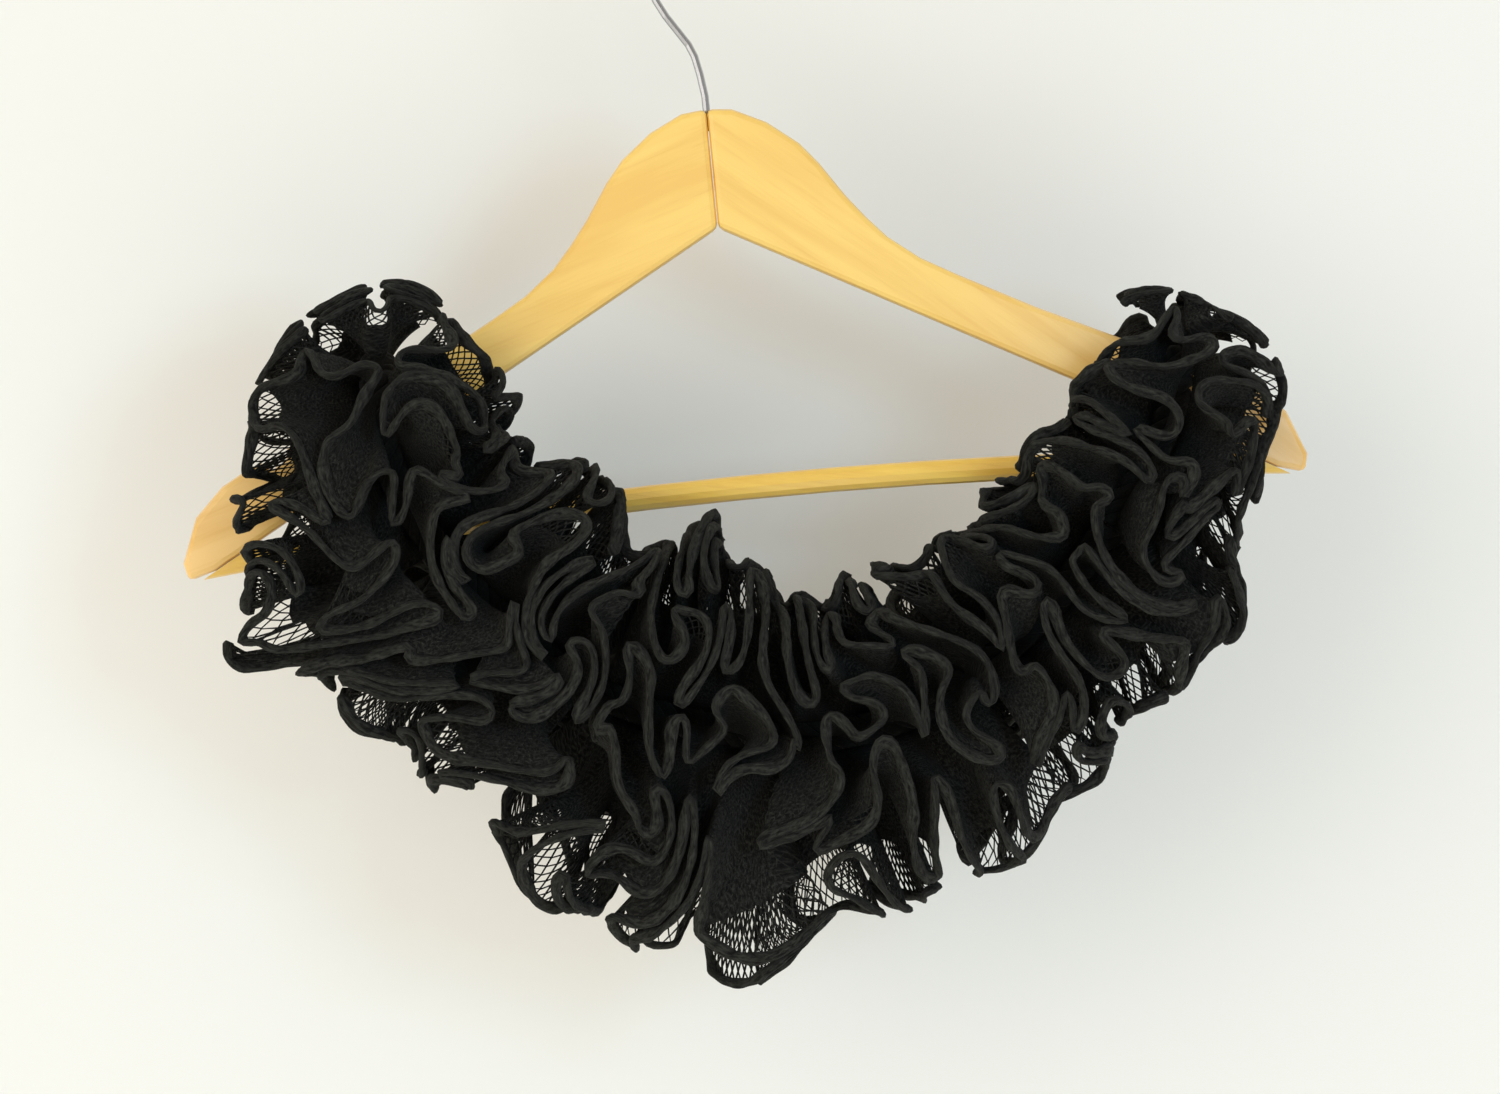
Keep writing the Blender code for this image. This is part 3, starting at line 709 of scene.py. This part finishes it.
def curl(place, angle, height, calm):
    """Turns the waves about each centre, more towards the free edge; no two points of a height meet."""
    length = scarf_line.length
    for centre, middle, twist in CURLS:
        along = np.mod(place - centre + length / 2, length) - length / 2
        across = (np.mod(angle - middle + math.pi, 2 * math.pi) - math.pi) * MEAN_REACH
        turn = height * calm * twist * np.exp(-(along ** 2 + across ** 2) / CURL_WIDTH ** 2)
        place = place + along * (np.cos(turn) - 1) - across * np.sin(turn)
        angle = angle + (along * np.sin(turn) + across * (np.cos(turn) - 1)) / MEAN_REACH
    return place, angle


def sway(place, angle, amount):
    """Slides the free edge along the line and round it, each by the other alone, so none meet."""
    place = place + amount * PINCH_ALONG * np.sin(place / PINCH_LENGTH + 2 * angle)
    for row in named(SWAY_COLUMNS, SWAYS):
        if row["turns"]:
            place = place + amount * row["along"] * MM * np.sin(row["turns"] * angle + row["phase"])
        else:
            swing = np.sin(place / (row["length"] * MM) + row["phase"])
            angle = angle + amount * row["round"] * MM / MEAN_REACH * swing
    return place, angle


def cloth_points(place, angle, height):
    """Points of the ribbon: place along the line, angle round it, height from the cord to the edge."""
    first, last = CALM_LENGTH
    calm = np.clip((scarf_line.from_over(place) - first) / (last - first), 0, 1)
    calm = calm * calm * (3 - 2 * calm)
    wander = height * calm
    place, angle = (place + wander * WANDER_ALONG * np.sin(place / WANDER_ALONG_LENGTH + angle),
                    angle + wander * WANDER_ROUND * np.sin(place / WANDER_ROUND_LENGTH + 2 * angle))
    place, angle = sway(place, angle, height ** SWAY_RISE * (SWAY_OVER + (1 - SWAY_OVER) * calm))
    place, angle = curl(place, angle, height, calm)
    across, out = np.sin(angle), np.cos(angle)
    short, long = UNEVEN_LENGTHS
    uneven = 1 + UNEVEN_SHARE * np.sin(place / short + 2 * angle) * np.sin(place / long - angle)
    reach_to = {name: scarf_line.at(values, place) for name, values in scarf_line.reach.items()}
    short, long = RAGGED_LENGTHS
    ragged = 1 + RAGGED_SHARE * (np.sin(place / short + angle) + np.sin(place / long - 2 * angle)) / 1.6
    side = np.where(across > 0, reach_to["outer"], reach_to["inner"]) * ragged
    face = np.where(out > 0, reach_to["away"] * uneven, reach_to["toward"])
    reach = ((np.abs(out) / face) ** FULLNESS + (np.abs(across) / side) ** FULLNESS) ** (-1 / FULLNESS)
    radius = HEADER_RADIUS + (reach - HEADER_RADIUS) * height
    points = (scarf_line.at(scarf_line.centre, place)
              + scarf_line.at(scarf_line.away, place) * (out * radius)[:, None]
              + scarf_line.at(scarf_line.side, place) * (across * radius)[:, None])
    points[:, 2] -= DROOP * height ** 2
    return points


def wave_shape():
    """One wave of a curve whose direction swings as a sine: unit length, heights from -0.5 to 0.5."""
    fine = 20
    along, across = [0.0], [0.0]
    for step in range(WAVE_STEPS * fine):
        direction = WAVE_BEND * math.sin(2 * math.pi * (step + 0.5) / (WAVE_STEPS * fine))
        along.append(along[-1] + math.cos(direction))
        across.append(across[-1] + math.sin(direction))
    top = max(across)
    return [x / along[-1] for x in along[::fine]], [y / top - 0.5 for y in across[::fine]]


def turn_between(place, header_from, header_to, edge_from, edge_to, outwards):
    """The small U-turn from the end of one row of waves to the start of the next."""
    ribs = []
    for step in range(1, TURN_STEPS):
        swing = math.pi * step / TURN_STEPS
        share = (1 - math.cos(swing)) / 2
        ribs.append((place + HEADER_TURN_SHARE * outwards * math.sin(swing),
                     header_from + (header_to - header_from) * share,
                     place + outwards * math.sin(swing),
                     edge_from + (edge_to - edge_from) * share))
    return ribs


def ribbon_path(start, end, rows):
    """The ribbon's ribs as it runs to and fro: place and angle at the cord, then at the free edge."""
    along, across = wave_shape()
    low, high = start + TURN_LENGTH, end - TURN_LENGTH
    path = []
    edge_end = None
    for number, row in enumerate(rows):
        middle = math.radians(row["first"] + row["last"]) / 2
        swing_width = WAVE_HEIGHT * math.radians(row["last"] - row["first"])
        begin, finish = (low, high) if number % 2 == 0 else (high, low)
        if edge_end is not None:
            path += turn_between(begin, path[-1][1], middle, edge_end, middle - swing_width / 2,
                                 math.copysign(TURN_LENGTH, begin - finish))
        count = max(1, round((high - low) / (row["wave"] * MM) - 0.5)) + 0.5
        ribs = int(count * WAVE_STEPS)
        for rib in range(ribs + 1):
            whole, part = divmod(rib, WAVE_STEPS)
            path.append((begin + (finish - begin) * rib / ribs, middle,
                         begin + (finish - begin) * (whole + along[part]) / count,
                         middle + swing_width * across[part]))
        edge_end = middle + swing_width / 2
    return np.array(path)


class Ribbon:
    """The ribbon of one stretch as a flat cut: a point is given by its length along the free edge and
    its height above the cord."""

    def __init__(self, start, end, rows):
        self.over_arm = rows == "over"
        self.band_size = BAND_OVER_ARM if self.over_arm else 1.0
        self.path = ribbon_path(start + STRETCH_GAP / 2, end - STRETCH_GAP / 2,
                                named(ROW_COLUMNS, ROWS[rows]))
        edge = cloth_points(self.path[:, 2], self.path[:, 3], np.ones(len(self.path)))
        steps = np.linalg.norm(np.diff(edge, axis=0), axis=1)
        self.marks = np.concatenate([[0.0], np.cumsum(steps)])
        self.length = float(self.marks[-1])
        self.width = self.rib_length()

    def rib_length(self):
        """The mean length of the cloth from the cord to the free edge, over its curved ribs."""
        lengths = np.linspace(0, self.length, RIBS_MEASURED)
        heights = np.linspace(0, 1, RIB_STEPS)
        levels = np.array([self.points(lengths, np.full(RIBS_MEASURED, height)) for height in heights])
        return float(np.linalg.norm(np.diff(levels, axis=0), axis=2).sum(axis=0).mean())

    def points(self, length, height):
        at_header_place, at_header_angle, at_edge_place, at_edge_angle = (
            np.interp(length, self.marks, column) for column in self.path.T)
        return cloth_points(at_header_place + (at_edge_place - at_header_place) * height,
                            at_header_angle + (at_edge_angle - at_header_angle) * height, height)


def lay_out_cut(mesh, cut):
    """Gives the mesh the lengths of the flat cut, in metres, as its UVs: one pair a point."""
    points = np.empty(len(mesh.loops), int)
    mesh.loops.foreach_get("vertex_index", points)
    mesh.uv_layers.new(name="cut").data.foreach_set("uv", cut[points].ravel())


def modified_mesh(points, cut, faces, kind, **settings):
    """The mesh of the points, their places in the cut, and the faces, after one modifier."""
    mesh = bpy.data.meshes.new("part")
    mesh.from_pydata(points.tolist(), [], faces)
    lay_out_cut(mesh, cut)
    holder = bpy.data.objects.new("part", mesh)
    bpy.context.scene.collection.objects.link(holder)
    modifier = holder.modifiers.new("part", kind)
    for name, value in settings.items():
        setattr(modifier, name, value)
    made = bpy.data.meshes.new_from_object(holder.evaluated_get(bpy.context.evaluated_depsgraph_get()))
    bpy.data.objects.remove(holder, do_unlink=True)
    bpy.data.meshes.remove(mesh)
    return made


def shut_mesh(ribbon, columns):
    """The net where it is crumpled shut, as one thin wall: near the cord at the sides and over the
    arms, and nearly up to the band on the scarf's front and back."""
    lengths = np.linspace(0, ribbon.length, columns + 1)
    facing = np.abs(np.interp(lengths, ribbon.marks, ribbon.path[:, 3]))
    blend = np.clip((facing - SHUT_ANGLES[0]) / (SHUT_ANGLES[1] - SHUT_ANGLES[0]), 0, 1)
    if ribbon.over_arm:
        blend = np.ones(columns + 1)
    top = SHUT_SHARES[0] + (SHUT_SHARES[1] - SHUT_SHARES[0]) * blend
    points, cut, faces = [], [], []
    for level in range(SHUT_LEVELS + 1):
        heights = top * level / SHUT_LEVELS
        points.append(ribbon.points(lengths, heights))
        cut.append(np.stack([lengths, heights * ribbon.width], axis=1))
    for level in range(SHUT_LEVELS):
        for column in range(columns):
            low = level * (columns + 1) + column
            faces.append((low, low + 1, low + columns + 2, low + columns + 1))
    return modified_mesh(np.concatenate(points), np.concatenate(cut), faces, "SOLIDIFY",
                         thickness=SHUT_WALL, offset=0.0)


def net_mesh(ribbon, columns):
    """The open net from the crumpled part to the band: strands round diamonds."""
    first, last = NET_FROM, 1 - BAND_HALF_WIDTH / ribbon.width
    levels = max(5, round((last - first) * ribbon.width / (NET_CELL[1] / 2)))
    points, cut, faces = [], [], []
    for level in range(levels + 1):
        shift = 0.5 * (level % 2)
        lengths = np.clip((np.arange(columns + 1) + shift) / columns, 0, 1) * ribbon.length
        heights = np.full(columns + 1, first + (last - first) * level / levels)
        points.append(ribbon.points(lengths, heights))
        cut.append(np.stack([lengths, heights * ribbon.width], axis=1))
    for level in range(levels - 1):
        row, above, top = ((level + more) * (columns + 1) for more in range(3))
        for column in range(1, columns):
            if level % 2 == 0:
                faces.append((row + column, above + column, top + column, above + column - 1))
            else:
                faces.append((row + column - 1, above + column, top + column - 1, above + column - 1))
    return modified_mesh(np.concatenate(points), np.concatenate(cut), faces, "WIREFRAME",
                         thickness=NET_STRAND, offset=0.0, use_even_offset=False)


def band_mesh(ribbon):
    """The thick soft band along the free edge, a little uneven, with the cut's lengths as its UVs."""
    rings = int(ribbon.length / BAND_STEP)
    lengths = np.linspace(0, ribbon.length, rings)
    height = 1 - BAND_HALF_WIDTH / ribbon.width
    middle = ribbon.points(lengths, np.full(rings, height))
    below = ribbon.points(lengths, np.full(rings, height - BAND_FOOT))
    forward = unit(np.gradient(middle, axis=0))
    up = unit(middle - below)
    up = unit(up - forward * np.sum(up * forward, axis=1, keepdims=True))
    flank = np.cross(forward, up)
    lumps = sum(share * np.sin(lengths / apart + at) for share, apart, at in BAND_LUMPS)
    fat = ribbon.band_size * (1 + lumps)
    lean = sum(most * np.sin(lengths / apart) for most, apart in BAND_LEANS)
    corners, cut = [], []
    for corner in range(BAND_SIDES):
        cut.append(np.stack([lengths, np.full(rings, corner * BAND_HALF_WIDTH / 2)], axis=1))
        round_it = 2 * math.pi * corner / BAND_SIDES
        wide = BAND_HALF_WIDTH * fat * math.cos(round_it)
        thick = BAND_HALF_THICKNESS * fat * math.sin(round_it)
        corners.append(middle + up * (wide * np.cos(lean) - thick * np.sin(lean))[:, None]
                       + flank * (wide * np.sin(lean) + thick * np.cos(lean))[:, None])
    mesh = bpy.data.meshes.new("band")
    points = np.stack(corners, axis=1).reshape(-1, 3).tolist()
    mesh.from_pydata(points, [], tube_faces(rings, BAND_SIDES))
    lay_out_cut(mesh, np.stack(cut, axis=1).reshape(-1, 2))
    return mesh


def join_meshes(name, meshes):
    """One mesh of several, each with its own material slot."""
    shape = bmesh.new()
    for index, mesh in enumerate(meshes):
        mesh.polygons.foreach_set("material_index", [index] * len(mesh.polygons))
        shape.from_mesh(mesh)
        bpy.data.meshes.remove(mesh)
    joined = bpy.data.meshes.new(name)
    shape.to_mesh(joined)
    shape.free()
    joined.shade_smooth()
    return joined


SHUT_NET = yarn_material("shut_net", "UV", CUT_FIBRES, SHUT_DARK, SHUT_PALE, 0.0012, KNIT)
OPEN_NET = yarn_material("open_net", "Object", STRAND_FIBRES, NET_DARK, NET_PALE, 0.0004)
EDGE_BAND = yarn_material("edge_band", "UV", CUT_FIBRES, BAND_DARK, BAND_PALE, 0.0009)


def add_ribbon(label, start, end, rows):
    ribbon = Ribbon(start, end, rows)
    columns = int(ribbon.length / NET_CELL[0])
    mesh = join_meshes(f"ribbon_{label}", [shut_mesh(ribbon, columns), net_mesh(ribbon, columns),
                                           band_mesh(ribbon)])
    made = new_object(f"ribbon_{label}", mesh, SHUT_NET, OPEN_NET, EDGE_BAND)
    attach(made, "root")
    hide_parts(f"ruffle_{label}")


for label, low, high, rows in stretches():
    add_ribbon(label, low, high, rows)


# The lowest and highest corners of the solids and of the dressed scarf, to compare them.
[[list(corner) for corner in box] for box in (solid_box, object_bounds())]
